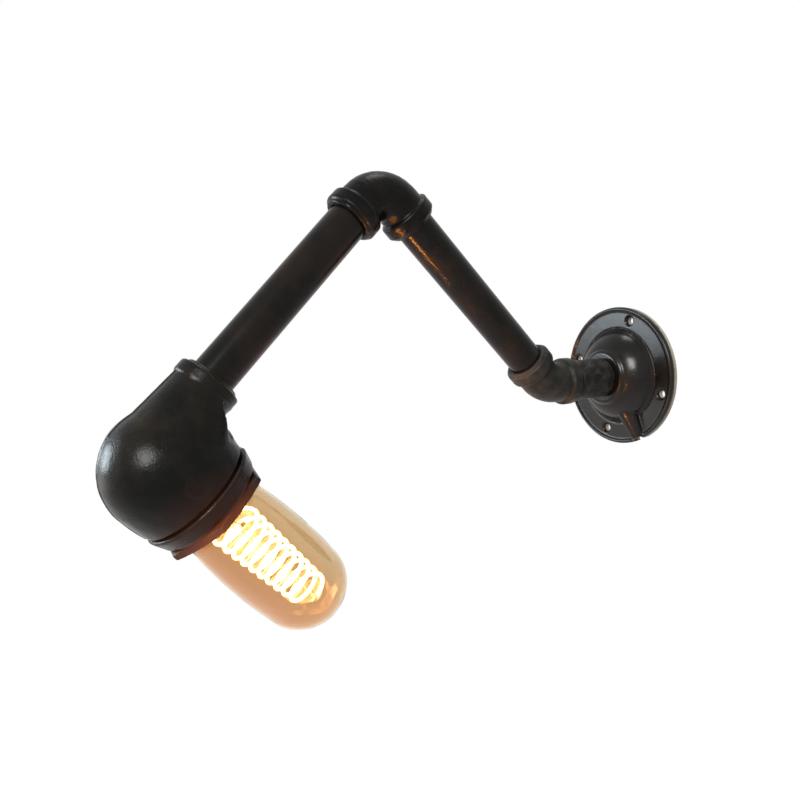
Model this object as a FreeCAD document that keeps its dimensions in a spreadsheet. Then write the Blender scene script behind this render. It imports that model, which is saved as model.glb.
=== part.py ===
import FreeCAD, Part
import math
import os
import re

import Sketcher

# Industrial wall light made from half-inch malleable pipe and fittings.
# Origin: centre of the wall plate's back, on the wall. -Y leaves the wall, +Z is up. Millimetres.
# The run leaves the wall, turns up at a 45 degree elbow, comes down from a 90 degree elbow, and
# ends in a reducing elbow that holds the lamp and points it back down at the wall.

os.makedirs("parts", exist_ok=True)
Vector = FreeCAD.Vector
doc = FreeCAD.newDocument("pipe_wall_light")

# ---------------------------------------------------------------------------------------------
# Driving dimensions
# ---------------------------------------------------------------------------------------------
SIZES = {
    # half-inch pipe and its threads
    "pipe_od": 21.3,
    "pipe_bore": 16.1,
    "nipple_bore": 15.0,
    "thread_reach": 13.0,
    "fit_gap": 0.05,
    "face_gap": 0.3,
    "lower_pipe_length": 135.0,
    "upper_pipe_length": 130.6,
    # elbows
    "wall_bend": 45.0,
    "top_bend": 90.0,
    "head_bend": 86.5,
    "elbow_45_reach": 22.0,
    "elbow_90_reach": 28.0,
    "elbow_45_bend_radius": 18.0,
    "elbow_body_radius": 12.7,
    "elbow_passage_radius": 8.6,
    "collar_radius": 14.8,
    "collar_width": 7.6,
    "collar_edge": 1.3,
    "lip_radius": 13.3,
    "lip_width": 1.6,
    # wall plate, measured out from the wall
    "gasket_thickness": 2.5,
    "gasket_inset": 0.4,
    "gasket_inner_radius": 33.0,
    "plate_radius": 46.0,
    "plate_flange": 2.5,
    "plate_wall": 2.6,
    "bead_radius": 1.4,
    "bead_drop": 0.4,
    "foot_groove_radius": 31.6,
    "foot_groove_width": 1.0,
    "foot_groove_depth": 0.7,
    "foot_ring_height": 1.5,
    "foot_ring_radius": 30.3,
    "dome_height": 20.5,
    "dome_curve": 22.0,
    "shoulder_radius": 18.2,
    "shoulder_drop": 1.9,
    "shoulder_curve": 3.4,
    "dome_top_radius": 15.6,
    "plate_hole_gap": 0.25,
    "screw_circle": 76.0,
    "screw_hole": 5.0,
    "screw_countersink": 7.4,
    "screw_angle": -15.5,
    "channel_angle": -65.0,
    "channel_root_radius": 9.6,
    "channel_mouth_radius": 5.2,
    "channel_slope": 8.0,
    "channel_bore": 7.0,
    "channel_height": 4.0,
    "channel_setback": 1.6,
    # neck on the plate
    "socket_radius": 12.7,
    "socket_length": 28.0,
    "socket_edge": 0.6,
    "nipple_tail": 2.0,
    "nipple_space": 0.8,
    "washer_thickness": 0.8,
    "washer_radius": 14.6,
    "washer_notches": 12.0,
    "washer_notch_width": 2.0,
    "washer_notch_depth": 1.6,
    "nut_across_flats": 28.0,
    "nut_thickness": 5.0,
    # terminals behind the plate
    "boss_radius": 3.2,
    "boss_circle": 40.0,
    "block_angle": 115.0,
    "block_seat": 9.8,
    "block_length": 20.0,
    "block_width": 10.0,
    "block_height": 9.0,
    "block_offset": 2.5,
    "pole_spacing": 11.0,
    "pole_bore": 2.8,
    "pole_screw": 3.0,
    "pole_screw_length": 3.0,
    "pole_screw_pitch": 5.0,
    "pole_recess": 0.5,
    "block_screw_head": 5.2,
    "block_screw_head_height": 2.0,
    "block_screw_shank": 2.9,
    "block_screw_length": 11.0,
    "earth_angle": 25.0,
    "earth_seat": 8.0,
    "earth_screw": 3.9,
    "earth_screw_head": 7.4,
    "earth_screw_head_height": 2.4,
    "earth_screw_length": 7.0,
    "earth_tag_radius": 4.0,
    "earth_tag_thickness": 0.8,
    "earth_tag_length": 8.0,
    "earth_tag_width": 3.2,
    # lead inside the pipes
    "lead_od": 5.6,
    "lead_bend_45": 18.0,
    "lead_bend_90": 17.0,
    "core_od": 1.9,
    "core_spacing": 2.4,
    "core_bend": 4.5,
    "lead_tail_at_plate": 1.5,
    "lead_tail_in_head": 24.0,
    # reducing elbow at the head
    "head_reach": 44.4,
    "head_radius": 30.3,
    "head_centre": 12.4,
    "head_waist_radius": 29.3,
    "head_waist": 27.0,
    "head_band_start": 28.4,
    "head_band_radius": 30.0,
    "head_mouth_radius": 28.0,
    "head_band_edge": 1.2,
    "head_mouth": 37.3,
    "head_wall": 4.2,
    "head_thread_radius": 24.0,
    "head_ledge_radius": 21.6,
    "head_ledge_start": 19.5,
    "head_ledge_end": 23.5,
    "head_taper_start": 15.0,
    "head_collar_radius": 15.9,
    "head_collar_width": 7.0,
    "head_neck_radius": 14.6,
    "head_lip_radius": 13.4,
    "flare_depth": 8.0,
    "flare_sink": 0.4,
    "throat_reach": 31.5,
    "throat_radius": 16.6,
    "throat_round": 4.5,
    "throat_saddle": 18.0,
    "throat_width": 32.0,
    "seam_width": 1.2,
    "seam_height": 0.45,
    "pad_radius": 5.2,
    "pad_line": 0.9,
    "pad_along": 17.7,
    "pad_across": -1.1,
    # hexagonal ring that clamps the lampholder
    "ring_across_flats": 51.6,
    "ring_turn": 12.0,
    "ring_seat_gap": 0.4,
    "ring_thickness": 4.8,
    "ring_chamfer": 1.0,
    "ring_bore_radius": 21.6,
    "ring_spigot_start": 27.5,
    # lampholder for the 27 mm screw cap
    "holder_back": 0.0,
    "holder_base_radius": 16.0,
    "holder_step": 9.0,
    "holder_radius": 20.0,
    "holder_flange_radius": 23.6,
    "holder_front_radius": 19.4,
    "holder_front": 35.6,
    "holder_bore_radius": 14.3,
    "holder_floor": 9.4,
    "shell_radius": 14.1,
    "shell_wall": 0.5,
    "shell_start": 10.6,
    "shell_end": 35.0,
    "contact_disc_radius": 5.2,
    "contact_disc_thickness": 0.7,
    "contact_tip_radius": 2.2,
    "terminal_spacing": 14.0,
    "terminal_offset": 8.0,
    "terminal_head": 5.6,
    "terminal_head_height": 2.2,
    "terminal_shank": 3.4,
    "terminal_depth": 6.0,
    # bulb, measured along its axis from the corner of the head
    "bulb_seat": 12.2,
    "bulb_length": 115.0,
    "bulb_radius": 23.7,
    "bulb_waist_radius": 22.0,
    "bulb_waist": 49.5,
    "bulb_belly": 1.4,
    "glass_wall": 0.9,
    "glass_neck_radius": 12.0,
    "glass_neck_start": 30.0,
    "glass_shoulder": 38.8,
    "contact_radius": 4.7,
    "contact_height": 2.2,
    "contact_edge": 0.8,
    "contact_gap": 0.1,
    "insulator_radius": 11.4,
    "insulator_height": 5.4,
    "insulator_rim": 1.6,
    "cap_crest_radius": 13.15,
    "cap_root_radius": 12.75,
    "cap_inner_radius": 12.1,
    "cap_start": 19.0,
    "cap_thread_start": 20.4,
    "cap_end": 38.4,
    "cap_ridges": 4.0,
    "thread_pitch": 3.629,
    "stem_foot_radius": 10.8,
    "stem_foot": 31.0,
    "stem_waist_radius": 4.2,
    "stem_waist": 40.0,
    "stem_top": 48.0,
    "rod_radius": 1.5,
    "rod_clearance": 14.2,
    "button_radius": 2.7,
    # spiral filament
    "filament_turns": 10.0,
    "filament_start": 53.0,
    "filament_clearance": 17.2,
    "filament_start_radius": 12.0,
    "filament_end_radius": 9.2,
    "filament_od": 1.2,
    "lead_in_od": 0.9,
    "clamp_od": 2.0,
    "clamp_length": 2.4,
    "support_od": 0.6,
    "support_step": 2.0,
}

sizes = doc.addObject("Spreadsheet::Sheet", "Sizes")
for row, (alias, number) in enumerate(SIZES.items(), 1):
    sizes.set(f"A{row}", alias)
    sizes.set(f"B{row}", str(number))
    sizes.setAlias(f"B{row}", alias)
doc.recompute()


# ---------------------------------------------------------------------------------------------
# Helpers: expressions, placements and simple solids
# ---------------------------------------------------------------------------------------------
def sized(expression):
    """An expression over the sheet's names, as the document's objects need it."""
    def with_sheet(word):
        return "Sizes." + word[0] if word[0] in SIZES else word[0]

    return re.sub(r"[a-z_][a-z_0-9]*", with_sheet, expression)


def value(expression):
    return float(sizes.evalExpression(sized(expression)))


def bind(thing, **expressions):
    for name, expression in expressions.items():
        thing.setExpression(name, sized(expression))
    return thing


def spot(x="0", y="0", z="0", axis="1; 0; 0", turn="0"):
    return f"placement(vector({x}; {y}; {z}); rotation(vector({axis}); {turn}))"


def add(kind, name, where=None, **expressions):
    thing = doc.addObject(kind, name)
    bind(thing, **expressions)
    if where:
        bind(thing, Placement=where)
    return thing


def cylinder(name, radius, length, where=None):
    return add("Part::Cylinder", name, where, Radius=radius, Height=length)


def fuse(name, *solids):
    joined = doc.addObject("Part::MultiFuse", name)
    joined.Shapes = list(solids)
    return joined


def cut(name, solid, *tools):
    rest = doc.addObject("Part::Cut", name)
    rest.Base = solid
    rest.Tool = tools[0] if len(tools) == 1 else fuse(name + "_cutters", *tools)
    return rest


def common(name, first, second):
    overlap = doc.addObject("Part::Common", name)
    overlap.Base = first
    overlap.Tool = second
    return overlap


def tube(name, radius, bore_radius, start, end):
    length = f"{end} - ({start})"
    outside = cylinder(name + "_outside", radius, length, spot(z=start))
    inside = cylinder(name + "_inside", bore_radius, f"{length} + 2", spot(z=f"{start} - 1"))
    return cut(name, outside, inside)


def arc_between(start, end, radius):
    """Arc under a half circle from start to end: anticlockwise for a positive radius."""
    chord = end - start
    height = math.sqrt(radius ** 2 - (chord.Length / 2) ** 2)
    side = math.copysign(1, radius)
    left = Vector(-chord.y, chord.x, 0).normalize()
    centre = (start + end) / 2 + left * height * side
    angles = [math.atan2((point - centre).y, (point - centre).x) for point in (start, end)]
    if side < 0:
        angles.reverse()
    return Part.ArcOfCircle(Part.Circle(centre, Vector(0, 0, 1), abs(radius)), *angles)


def draw(sketch, outline):
    """Closed outline of (x, y) corners; a third item is the radius of the arc that arrives there."""
    corners = [Vector(value(corner[0]), value(corner[1]), 0) for corner in outline]
    first_ends = []
    last_ends = []
    for index, start in enumerate(corners):
        after = (index + 1) % len(corners)
        arriving = outline[after]
        if len(arriving) == 2:
            edge = sketch.addGeometry(Part.LineSegment(start, corners[after]), False)
            first_ends.append((edge, 1))
            last_ends.append((edge, 2))
            continue
        radius = value(arriving[2])
        edge = sketch.addGeometry(arc_between(start, corners[after], radius), False)
        first_ends.append((edge, 1 if radius > 0 else 2))
        last_ends.append((edge, 2 if radius > 0 else 1))
        number = sketch.addConstraint(Sketcher.Constraint("Radius", edge, abs(radius)))
        sketch.renameConstraint(number, f"radius_{after}")
        sketch.setExpression(f"Constraints.radius_{after}", sized(f"abs({arriving[2]})"))
    for index, (x, y, *_) in enumerate(outline):
        edge, end = first_ends[index]
        sketch.addConstraint(Sketcher.Constraint("Coincident", *last_ends[index - 1], edge, end))
        for letter, expression in (("X", x), ("Y", y)):
            distance = Sketcher.Constraint("Distance" + letter, edge, end, value(expression))
            number = sketch.addConstraint(distance)
            label = f"{letter.lower()}_{index}"
            sketch.renameConstraint(number, label)
            if any(name in SIZES for name in re.findall(r"[a-z_0-9]+", expression)):
                sketch.setExpression("Constraints." + label, sized(expression))


def body_with_sketch(name, plane, outline):
    body = doc.addObject("PartDesign::Body", name)
    sketch = body.newObject("Sketcher::SketchObject", name + "_outline")
    origin_plane = next(item for item in body.Origin.OriginFeatures if item.Role == plane)
    sketch.AttachmentSupport = [(origin_plane, "")]
    sketch.MapMode = "FlatFace"
    draw(sketch, outline)
    return body, sketch


def turned(name, outline, where=None):
    """A body turned about its own Z from a half outline of (radius, height) corners."""
    body, sketch = body_with_sketch(name, "XZ_Plane", outline)
    revolution = body.newObject("PartDesign::Revolution", name + "_turned")
    revolution.Profile = sketch
    revolution.ReferenceAxis = (sketch, ["V_Axis"])
    revolution.Angle = 360
    sketch.Visibility = False
    if where:
        bind(body, Placement=where)
    return body


nodes = []


def node(thing, name, axis=None):
    """Names a finished sub-part and puts it on its axis."""
    thing.Label = name
    if axis:
        thing.setExpression("Placement", f"{axis.Name}.Placement")
    nodes.append(thing)
    return thing


# ---------------------------------------------------------------------------------------------
# Axes: each one's Z runs along the pipe, away from the wall's end of the run
# ---------------------------------------------------------------------------------------------
WALL_TO_ELBOW = "(dome_height + socket_length + face_gap + elbow_45_reach)"
TOP_BEND_RADIUS = "(elbow_90_reach - thread_reach)"
TOP_REACH = f"(thread_reach + {TOP_BEND_RADIUS} * tan(top_bend / 2))"
LOWER_RUN = f"(elbow_45_reach - thread_reach + lower_pipe_length + face_gap + {TOP_REACH} - thread_reach)"
UPPER_RUN = f"({TOP_REACH} - thread_reach + upper_pipe_length + face_gap + head_reach - thread_reach)"

wall_axis = add("App::Placement", "wall_axis", spot(turn="90"))
lower_axis = add("App::Placement", "lower_axis",
                 "wall_axis.Placement * " + spot(z=WALL_TO_ELBOW, turn="-wall_bend"))
upper_axis = add("App::Placement", "upper_axis",
                 "lower_axis.Placement * " + spot(z=LOWER_RUN, turn="top_bend"))
lamp_axis = add("App::Placement", "lamp_axis",
                "upper_axis.Placement * " + spot(z=UPPER_RUN, turn="head_bend"))


# ---------------------------------------------------------------------------------------------
# Wall plate and gasket
# ---------------------------------------------------------------------------------------------
PLATE_FRONT = "(gasket_thickness + plate_flange)"
CHANNEL = spot(axis="0; 0; 1", turn="channel_angle") + " * "
ALONG_RADIUS = spot(z="channel_height", axis="0; 1; 0", turn="90")


def screw_holes(name, radius, start, length, far_radius=None):
    """Four holes, or four countersinks where a far radius is given, on the plate's screw circle."""
    holes = []
    for quarter in range(4):
        where = (spot(axis="0; 0; 1", turn=f"screw_angle + {90 * quarter}") + " * "
                 + spot(x="screw_circle / 2", z=start))
        if far_radius:
            hole = add("Part::Cone", f"{name}_{quarter}", where,
                       Radius1=radius, Radius2=far_radius, Height=length)
        else:
            hole = cylinder(f"{name}_{quarter}", radius, length, where)
        holes.append(hole)
    return holes


gasket_ring = turned("gasket_ring", [
    ("gasket_inner_radius", "0"),
    ("plate_radius - gasket_inset", "0"),
    ("plate_radius - gasket_inset", "gasket_thickness"),
    ("gasket_inner_radius", "gasket_thickness"),
])
gasket_notch = add("Part::Box", "gasket_notch",
                   CHANNEL + spot(y="-channel_bore / 2", z="-1"),
                   Length="plate_radius + 1", Width="channel_bore", Height="gasket_thickness + 2")
node(cut("wall_gasket", gasket_ring, gasket_notch,
         *screw_holes("gasket_hole", "screw_hole / 2", "-1", "gasket_thickness + 2")),
     "wall_gasket", wall_axis)

plate_form = turned("plate_form", [
    ("0", "gasket_thickness"),
    ("plate_radius", "gasket_thickness"),
    ("plate_radius", f"{PLATE_FRONT} - bead_drop"),
    ("plate_radius - bead_radius", f"{PLATE_FRONT} - bead_drop + bead_radius", "bead_radius"),
    ("plate_radius - bead_radius - sqrt(bead_radius ^ 2 - bead_drop ^ 2)", PLATE_FRONT, "bead_radius"),
    ("foot_groove_radius + foot_groove_width", PLATE_FRONT),
    ("foot_groove_radius + foot_groove_width / 2", f"{PLATE_FRONT} - foot_groove_depth"),
    ("foot_groove_radius", f"{PLATE_FRONT} - foot_groove_depth"),
    ("foot_ring_radius", f"{PLATE_FRONT} + foot_ring_height", "foot_ring_height * 2"),
    ("shoulder_radius", "dome_height - shoulder_drop", "dome_curve"),
    ("dome_top_radius", "dome_height", "shoulder_curve"),
    ("0", "dome_height"),
])
INNER_FOOT = "(foot_ring_radius - plate_wall)"
plate_hollow = turned("plate_hollow", [
    ("0", "-1"),
    (INNER_FOOT, "-1"),
    (INNER_FOOT, f"{PLATE_FRONT} + foot_ring_height - plate_wall / 2"),
    ("shoulder_radius - plate_wall / 2", "dome_height - shoulder_drop - plate_wall * 0.8",
     "dome_curve - plate_wall"),
    ("dome_top_radius", "dome_height - plate_wall", "shoulder_curve"),
    ("0", "dome_height - plate_wall"),
])
TOWARDS_BLOCK = spot(axis="0; 0; 1", turn="block_angle") + " * "
TOWARDS_EARTH = spot(axis="0; 0; 1", turn="earth_angle") + " * "
block_boss = cylinder("block_boss", "boss_radius", "dome_height - block_seat",
                      TOWARDS_BLOCK + spot(x="boss_circle / 2", z="block_seat"))
earth_boss = cylinder("earth_boss", "boss_radius", "dome_height - earth_seat",
                      TOWARDS_EARTH + spot(x="boss_circle / 2", z="earth_seat"))
hollow_round_bosses = cut("hollow_round_bosses", plate_hollow, block_boss, earth_boss)

CHANNEL_REACH = "(plate_radius - channel_setback)"
DOWN_THE_DOME = spot(z=f"channel_height + {CHANNEL_REACH} * tan(channel_slope)", axis="0; 1; 0",
                     turn="90 + channel_slope")
channel_back = add("Part::Cone", "channel_back", CHANNEL + DOWN_THE_DOME, Radius1="channel_root_radius",
                   Radius2="channel_mouth_radius", Height=f"{CHANNEL_REACH} / cos(channel_slope)")
channel_limit = cylinder("channel_limit", "plate_radius", "dome_height", spot(z="gasket_thickness"))
channel_bore = cylinder("channel_bore_cutter", "channel_bore / 2", "plate_radius + 1 - boss_circle / 2",
                        CHANNEL + spot(x="boss_circle / 2") + " * " + ALONG_RADIUS)
plate_solid = fuse("plate_solid", plate_form, common("channel_roof", channel_back, channel_limit))
block_tapping = cylinder("block_tapping", "block_screw_shank / 2", "block_screw_length",
                         TOWARDS_BLOCK
                         + spot(x="boss_circle / 2", z="block_seat - block_height + block_screw_head_height"))
earth_tapping = cylinder("earth_tapping", "earth_screw / 2 + fit_gap",
                         "earth_screw_length + earth_tag_thickness",
                         TOWARDS_EARTH + spot(x="boss_circle / 2", z="earth_seat - earth_tag_thickness"))
nipple_hole = cylinder("nipple_hole", "pipe_od / 2 + plate_hole_gap", "dome_height + 2")
SINK_DEPTH = "(screw_countersink - screw_hole) / 2"
node(cut("wall_plate", plate_solid, hollow_round_bosses, channel_bore, nipple_hole, block_tapping,
         earth_tapping,
         *screw_holes("plate_hole", "screw_hole / 2", "-1", f"{PLATE_FRONT} + 3"),
         *screw_holes("plate_countersink", "screw_hole / 2", f"{PLATE_FRONT} - {SINK_DEPTH}",
                      SINK_DEPTH, "screw_countersink / 2")),
     "wall_plate", wall_axis)


# ---------------------------------------------------------------------------------------------
# Neck: socket outside the plate, nipple through it, washer and lock nut inside
# ---------------------------------------------------------------------------------------------
RUNNING_BORE = "(pipe_od / 2 + fit_gap)"
SOCKET_END = "(dome_height + socket_length)"
node(turned("plate_socket", [
    (RUNNING_BORE, "dome_height"),
    ("socket_radius - socket_edge", "dome_height"),
    ("socket_radius", "dome_height + socket_edge"),
    ("socket_radius", f"{SOCKET_END} - socket_edge"),
    ("socket_radius - socket_edge", SOCKET_END),
    (RUNNING_BORE, SOCKET_END),
]), "plate_socket", wall_axis)

WASHER_TOP = "(dome_height - plate_wall)"
NUT_TOP = f"({WASHER_TOP} - washer_thickness)"
NUT_BOTTOM = f"({NUT_TOP} - nut_thickness)"
NIPPLE_START = f"({NUT_BOTTOM} - nipple_tail)"
node(tube("wall_nipple", "pipe_od / 2", "nipple_bore / 2", NIPPLE_START, "dome_height + thread_reach"),
     "wall_nipple", wall_axis)

washer_ring = tube("washer_ring", "washer_radius", RUNNING_BORE, NUT_TOP, WASHER_TOP)
notches = []
for index in range(round(value("washer_notches"))):
    angle = f"{index} * 360 / washer_notches"
    notches.append(add("Part::Box", f"washer_notch_{index}",
                       spot(axis="0; 0; 1", turn=angle) + " * "
                       + spot(x="washer_radius - washer_notch_depth", y="-washer_notch_width / 2",
                              z=f"{NUT_TOP} - 1"),
                       Length="washer_notch_depth + 1", Width="washer_notch_width",
                       Height="washer_thickness + 2"))
node(cut("lock_washer", washer_ring, *notches), "lock_washer", wall_axis)

nut_blank = add("Part::Prism", "nut_blank", spot(z=NUT_BOTTOM),
                Circumradius="nut_across_flats / sqrt(3)", Height="nut_thickness")
nut_blank.Polygon = 6
nut_bore = cylinder("nut_bore", RUNNING_BORE, "nut_thickness + 2", spot(z=f"{NUT_BOTTOM} - 1"))
node(cut("lock_nut", nut_blank, nut_bore), "lock_nut", wall_axis)


# ---------------------------------------------------------------------------------------------
# Terminal block and earth screw on the plate's two inside bosses
# ---------------------------------------------------------------------------------------------
AT_BLOCK = TOWARDS_BLOCK + spot(x="boss_circle / 2") + " * "
BLOCK_BOTTOM = "(block_seat - block_height)"
POLE_HEIGHT = f"({BLOCK_BOTTOM} + block_height / 2)"
block_form = add("Part::Box", "block_form",
                 AT_BLOCK + spot(x="-block_width / 2 - block_offset", y="-block_length / 2", z=BLOCK_BOTTOM),
                 Length="block_width", Width="block_length", Height="block_height")
block_cutters = [
    cylinder("block_head_recess", "block_screw_head / 2 + fit_gap", "block_screw_head_height + 1",
             AT_BLOCK + spot(z=f"{BLOCK_BOTTOM} - 1")),
    cylinder("block_shank_hole", "block_screw_shank / 2 + fit_gap", "block_height + 2",
             AT_BLOCK + spot(z=f"{BLOCK_BOTTOM} - 1")),
]
pole_screws = []
for pole in (-1, 1):
    across = f"{pole} * pole_spacing / 2"
    along_bore = spot(x="-block_width / 2 - block_offset - 1", y=across, z=POLE_HEIGHT,
                      axis="0; 1; 0", turn="90")
    block_cutters.append(cylinder(f"pole_bore_{pole + 1}", "pole_bore / 2", "block_width + 2",
                                  AT_BLOCK + along_bore))
    for row in (-1, 1):
        along = f"{row} * pole_screw_pitch / 2 - block_offset"
        block_cutters.append(cylinder(f"pole_screw_hole_{pole + 1}_{row + 1}", "pole_screw / 2 + fit_gap",
                                      "block_height / 2 + 1",
                                      AT_BLOCK + spot(x=along, y=across, z=f"{BLOCK_BOTTOM} - 1")))
        pole_screws.append(cylinder(f"pole_screw_{pole + 1}_{row + 1}", "pole_screw / 2", "pole_screw_length",
                                    AT_BLOCK + spot(x=along, y=across, z=f"{BLOCK_BOTTOM} + pole_recess")))
node(cut("terminal_block", block_form, *block_cutters), "terminal_block", wall_axis)
node(fuse("terminal_screws", *pole_screws), "terminal_screws", wall_axis)

SCREW_LENGTH = "block_screw_length"
node(turned("block_screw", [
    ("0", BLOCK_BOTTOM),
    ("block_screw_head / 2", BLOCK_BOTTOM),
    ("block_screw_head / 2", f"{BLOCK_BOTTOM} + block_screw_head_height"),
    ("block_screw_shank / 2", f"{BLOCK_BOTTOM} + block_screw_head_height"),
    ("block_screw_shank / 2", f"{BLOCK_BOTTOM} + {SCREW_LENGTH}"),
    ("0", f"{BLOCK_BOTTOM} + {SCREW_LENGTH}"),
]), "block_screw").setExpression("Placement", sized("wall_axis.Placement * " + AT_BLOCK + spot()))

AT_EARTH = TOWARDS_EARTH + spot(x="boss_circle / 2") + " * "
TAG_BOTTOM = "(earth_seat - earth_tag_thickness)"
HEAD_BOTTOM = f"({TAG_BOTTOM} - earth_screw_head_height)"
node(turned("earth_screw_form", [
    ("0", HEAD_BOTTOM),
    ("earth_screw_head / 2 - earth_screw_head_height / 3", HEAD_BOTTOM),
    ("earth_screw_head / 2", f"{HEAD_BOTTOM} + earth_screw_head_height / 3"),
    ("earth_screw_head / 2", TAG_BOTTOM),
    ("earth_screw / 2", TAG_BOTTOM),
    ("earth_screw / 2", f"{TAG_BOTTOM} + earth_screw_length"),
    ("0", f"{TAG_BOTTOM} + earth_screw_length"),
]), "earth_screw").setExpression("Placement", sized("wall_axis.Placement * " + AT_EARTH + spot()))
tag_ring = cylinder("tag_ring", "earth_tag_radius", "earth_tag_thickness", AT_EARTH + spot(z=TAG_BOTTOM))
tag_tail = add("Part::Box", "tag_tail",
               AT_EARTH + spot(x="-earth_tag_length", y="-earth_tag_width / 2", z=TAG_BOTTOM),
               Length="earth_tag_length", Width="earth_tag_width", Height="earth_tag_thickness")
tag_hole = cylinder("tag_hole", "earth_screw / 2 + fit_gap", "earth_tag_thickness + 2",
                    AT_EARTH + spot(z=f"{TAG_BOTTOM} - 1"))
node(cut("earth_tag", fuse("tag_form", tag_ring, tag_tail), tag_hole), "earth_tag", wall_axis)


# ---------------------------------------------------------------------------------------------
# Malleable elbows: a bend and two banded ports, bored through
# ---------------------------------------------------------------------------------------------
def port_form(name, reach, body_radius, band_radius, band_width, end_radius, where):
    band_end = f"({reach} - lip_width)"
    band_start = f"({band_end} - {band_width})"
    return turned(name, [
        ("0", "0"),
        (body_radius, "0"),
        (body_radius, f"{band_start} - collar_edge / 2"),
        (f"{band_radius} - collar_edge", band_start),
        (band_radius, f"{band_start} + collar_edge", "collar_edge"),
        (band_radius, f"{band_end} - collar_edge"),
        (f"{band_radius} - collar_edge", band_end, "collar_edge"),
        (end_radius, band_end),
        (end_radius, f"{reach} - collar_edge / 2"),
        (f"{end_radius} - collar_edge / 2", reach),
        ("0", reach),
    ], where)


def port_bore(name, reach, where):
    return turned(name, [
        ("0", "0"),
        ("elbow_passage_radius", "0"),
        ("elbow_passage_radius", f"{reach} - thread_reach"),
        (RUNNING_BORE, f"{reach} - thread_reach"),
        (RUNNING_BORE, f"{reach} + 1"),
        ("0", f"{reach} + 1"),
    ], where)


def bend_form(name, side, turn, bend_radius, radius):
    """The curved middle of an elbow; side is 1 where the run turns down and -1 where it turns up."""
    start = f"-{turn}" if side > 0 else "180"
    where = (spot(y=f"{-side} * {bend_radius}", z=f"{bend_radius} * tan({turn} / 2)", turn=start)
             + " * " + spot(axis="1; 1; 1", turn="120"))
    bend = add("Part::Torus", name, where, Radius1=bend_radius, Radius2=radius, Angle3=turn)
    return bend


def elbow(name, axis, side, turn, reach, bend_radius):
    towards_inlet = spot(turn=f"{side} * (180 - {turn})")
    ports = (("outlet", spot()), ("inlet", towards_inlet))
    forms = [bend_form(name + "_bend", side, turn, bend_radius, "elbow_body_radius")]
    bores = [bend_form(name + "_passage", side, turn, bend_radius, "elbow_passage_radius")]
    straight = f"{bend_radius} * tan({turn} / 2)"
    for end, where in ports:
        beyond_bend = cylinder(f"{name}_{end}_limit", f"{reach} * 2", reach, where + " * " + spot(z=straight))
        form = port_form(f"{name}_{end}_form", reach, "elbow_body_radius", "collar_radius", "collar_width",
                         "lip_radius", where)
        forms.append(common(f"{name}_{end}_end", form, beyond_bend))
        bore_limit = cylinder(f"{name}_{end}_bore_limit", f"{reach} * 2", f"{reach} * 2",
                              where + " * " + spot(z=straight))
        bore = port_bore(f"{name}_{end}_bore", reach, where)
        bores.append(common(f"{name}_{end}_bore_end", bore, bore_limit))
    return node(cut(name, fuse(name + "_forms", *forms), *bores), name, axis)


node(tube("close_nipple", "pipe_od / 2", "nipple_bore / 2",
          "dome_height + thread_reach + nipple_space", f"{WALL_TO_ELBOW} - elbow_45_reach + thread_reach"),
     "close_nipple", wall_axis)
elbow("elbow_45", lower_axis, -1, "wall_bend", "elbow_45_reach", "elbow_45_bend_radius")
LOWER_PIPE_START = "(elbow_45_reach - thread_reach)"
node(tube("lower_pipe", "pipe_od / 2", "pipe_bore / 2",
          LOWER_PIPE_START, f"{LOWER_PIPE_START} + lower_pipe_length"),
     "lower_pipe", lower_axis)
elbow("elbow_90", upper_axis, 1, "top_bend", TOP_REACH, TOP_BEND_RADIUS)
UPPER_PIPE_START = f"({TOP_REACH} - thread_reach)"
node(tube("upper_pipe", "pipe_od / 2", "pipe_bore / 2",
          UPPER_PIPE_START, f"{UPPER_PIPE_START} + upper_pipe_length"),
     "upper_pipe", upper_axis)


# ---------------------------------------------------------------------------------------------
# Reducing elbow at the head
# ---------------------------------------------------------------------------------------------
TO_PORT = spot(turn="180 - head_bend")


def head_chamber(name, growth="0"):
    """The large round of the casting up to its waist, let out by a growth."""
    radius = f"(head_radius + {growth})"
    return turned(name, [
        ("0", f"head_centre - {radius}"),
        (radius, "head_centre", radius),
        (f"head_waist_radius + {growth}", "head_waist", f"{radius} * 3"),
        ("0", "head_waist"),
    ])


def port_point(along, across):
    """A point of the head's middle plane, given along and across the small port's axis."""
    return (f"-({along}) * sin(head_bend) - ({across}) * cos(head_bend)",
            f"-({along}) * cos(head_bend) + ({across}) * sin(head_bend)")


COLLAR_START = "(head_reach - lip_width - head_collar_width)"
THROAT_Y, THROAT_Z = port_point("(throat_reach + throat_round * sin(45))",
                                "(throat_radius + throat_round * sin(45))")


def head_flare(name, growth="0"):
    """The skewed cone between the small collar and the large round, with its hollowed throat."""
    small = add("Part::Circle", name + "_small",
                TO_PORT + " * " + spot(z="head_reach - collar_edge - lip_width"),
                Radius=f"head_neck_radius + {growth}")
    large = add("Part::Circle", name + "_large",
                spot(z="head_centre") + " * " + TO_PORT + " * " + spot(z="flare_depth"),
                Radius=f"sqrt(head_radius ^ 2 - flare_depth ^ 2) - flare_sink + {growth}")
    cone = doc.addObject("Part::Loft", name + "_cone")
    cone.Sections = [large, small]
    cone.Solid = True
    cone.Ruled = True
    waist = f"(throat_round - {growth})"
    end = f"({waist} + throat_saddle - sqrt(throat_saddle ^ 2 - throat_width ^ 2 / 4))"
    throat = turned(name + "_throat", [
        ("0", "-throat_width / 2"),
        (end, "-throat_width / 2"),
        (end, "throat_width / 2", "-throat_saddle"),
        ("0", "throat_width / 2"),
    ], spot(y=THROAT_Y, z=THROAT_Z, axis="0; 1; 0", turn="90"))
    below_collar = cylinder(name + "_limit", "head_reach * 2", "head_reach * 2",
                            TO_PORT + " * " + spot(z=f"{COLLAR_START} + lip_width - head_reach * 2"))
    return cut(name, common(name + "_below_collar", cone, below_collar), throat)


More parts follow.
